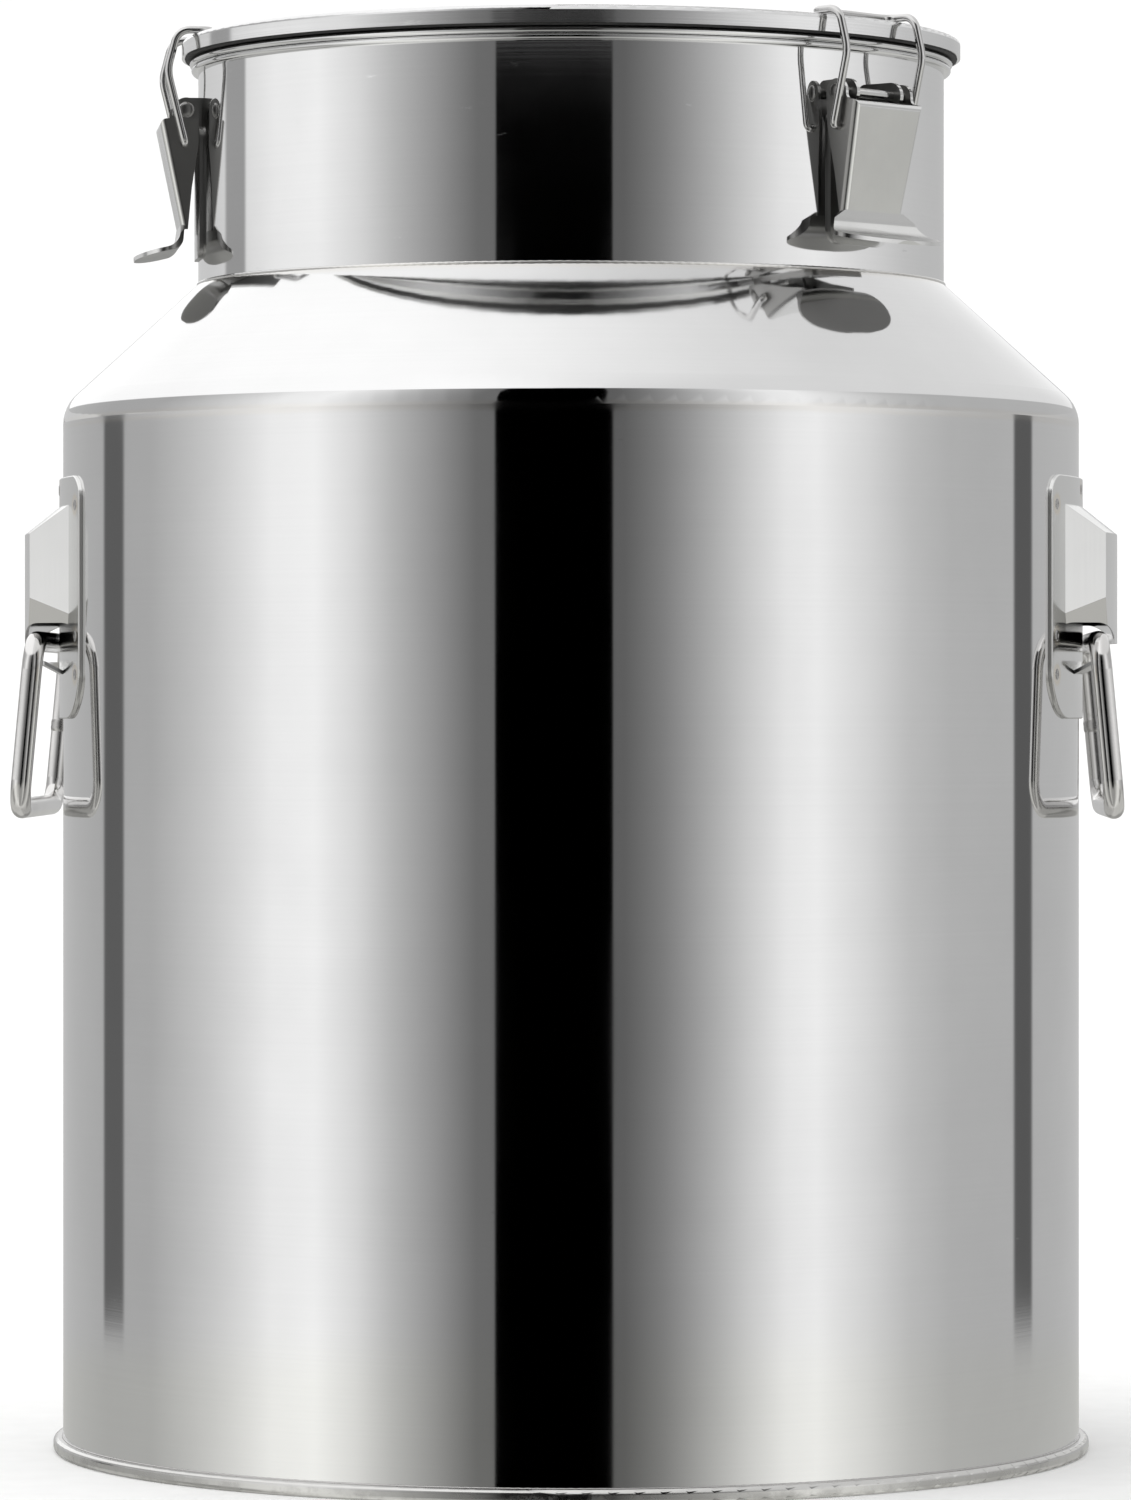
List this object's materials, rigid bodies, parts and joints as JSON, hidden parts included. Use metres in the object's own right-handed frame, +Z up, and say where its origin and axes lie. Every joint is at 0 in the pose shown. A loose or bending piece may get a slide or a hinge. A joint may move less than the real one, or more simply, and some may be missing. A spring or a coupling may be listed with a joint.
{
  "type": "milk can",
  "caption": "Polished stainless steel milk can with a clamped flat lid, two folding ring handles and wire-bail latches on the neck.",
  "frame": {"origin": "middle of the foot, on the surface the can stands on", "axes": "+Z up through the mouth; +X towards the right handle as seen in front; -Y is the front"},
  "size_m": [0.4312, 0.4076, 0.5567],
  "materials": {
    "polished_shell": "mirror-polished stainless steel, faint buffing lines",
    "satin_steel": "satin-polished pressed stainless steel, fine grain",
    "ring_steel": "polished stainless rod with light handling marks",
    "latch_steel": "stamped stainless steel, brushed, with fine scratches",
    "wire_steel": "drawn stainless wire, fine draw lines",
    "seal_rubber": "matt moulded rubber"
  },
  "bodies": {
    "can": {"body_wall": "polished_shell", "shoulder_cone": "polished_shell", "neck_band": "polished_shell", "mouth_ring": "polished_shell", "bottom_plate": "satin_steel", "foot_ring": "satin_steel", "handle_bracket_right": "polished_shell", "handle_bracket_left": "polished_shell", "latch_bracket_1": "latch_steel", "latch_bracket_2": "latch_steel", "latch_bracket_3": "latch_steel", "latch_pin_1": "latch_steel", "latch_pin_2": "latch_steel", "latch_pin_3": "latch_steel"},
    "lid": {"lid_shell": "polished_shell", "lid_gasket": "seal_rubber"},
    "handle_right": {"handle_ring_right": "ring_steel"},
    "handle_left": {"handle_ring_left": "ring_steel"},
    "latch_lever_1": {"latch_lever_1": "latch_steel"},
    "latch_bail_1": {"latch_bail_1": "wire_steel"},
    "latch_lever_2": {"latch_lever_2": "latch_steel"},
    "latch_bail_2": {"latch_bail_2": "wire_steel"},
    "latch_lever_3": {"latch_lever_3": "latch_steel"},
    "latch_bail_3": {"latch_bail_3": "wire_steel"}
  },
  "joints": [
    {"name": "lid_lift", "type": "slide", "parent": "can", "child": "lid", "axis": [0, 0, 1], "range_m": [0, 0.01]},
    {"name": "handle_right_swing", "type": "hinge", "parent": "can", "child": "handle_right", "pos_m": [0.2056, 0, 0.317], "axis": [0, -1, 0], "range_deg": [0, 172]},
    {"name": "handle_left_swing", "type": "hinge", "parent": "can", "child": "handle_left", "pos_m": [-0.2056, 0, 0.317], "axis": [0, 1, 0], "range_deg": [0, 172]},
    {"name": "latch_1_lever_swing", "type": "hinge", "parent": "can", "child": "latch_lever_1", "pos_m": [0.11705, -0.09822, 0.5243], "axis": [-0.6428, -0.766, 0], "range_deg": [0, 100]},
    {"name": "latch_1_bail_swing", "type": "hinge", "parent": "latch_lever_1", "child": "latch_bail_1", "pos_m": [0.11743, -0.09854, 0.511], "axis": [0.6428, 0.766, 0], "range_deg": [0, 135]},
    {"name": "latch_2_lever_swing", "type": "hinge", "parent": "can", "child": "latch_lever_2", "pos_m": [0.04212, 0.14688, 0.5243], "axis": [0.9613, -0.2756, 0], "range_deg": [0, 100]},
    {"name": "latch_2_bail_swing", "type": "hinge", "parent": "latch_lever_2", "child": "latch_bail_2", "pos_m": [0.04226, 0.14736, 0.511], "axis": [-0.9613, 0.2756, 0], "range_deg": [0, 135]},
    {"name": "latch_3_lever_swing", "type": "hinge", "parent": "can", "child": "latch_lever_3", "pos_m": [-0.15131, -0.02127, 0.5243], "axis": [-0.1392, 0.9903, 0], "range_deg": [0, 100]},
    {"name": "latch_3_bail_swing", "type": "hinge", "parent": "latch_lever_3", "child": "latch_bail_3", "pos_m": [-0.15181, -0.02133, 0.511], "axis": [0.1392, -0.9903, 0], "range_deg": [0, 135]}
  ],
  "couplings": [
    {"joint": "latch_1_lever_swing", "follows": "lid_lift", "rad_per_m": 174.53},
    {"joint": "latch_1_bail_swing", "follows": "lid_lift", "rad_per_m": 235.62},
    {"joint": "latch_2_lever_swing", "follows": "lid_lift", "rad_per_m": 174.53},
    {"joint": "latch_2_bail_swing", "follows": "lid_lift", "rad_per_m": 235.62},
    {"joint": "latch_3_lever_swing", "follows": "lid_lift", "rad_per_m": 174.53},
    {"joint": "latch_3_bail_swing", "follows": "lid_lift", "rad_per_m": 235.62}
  ]
}
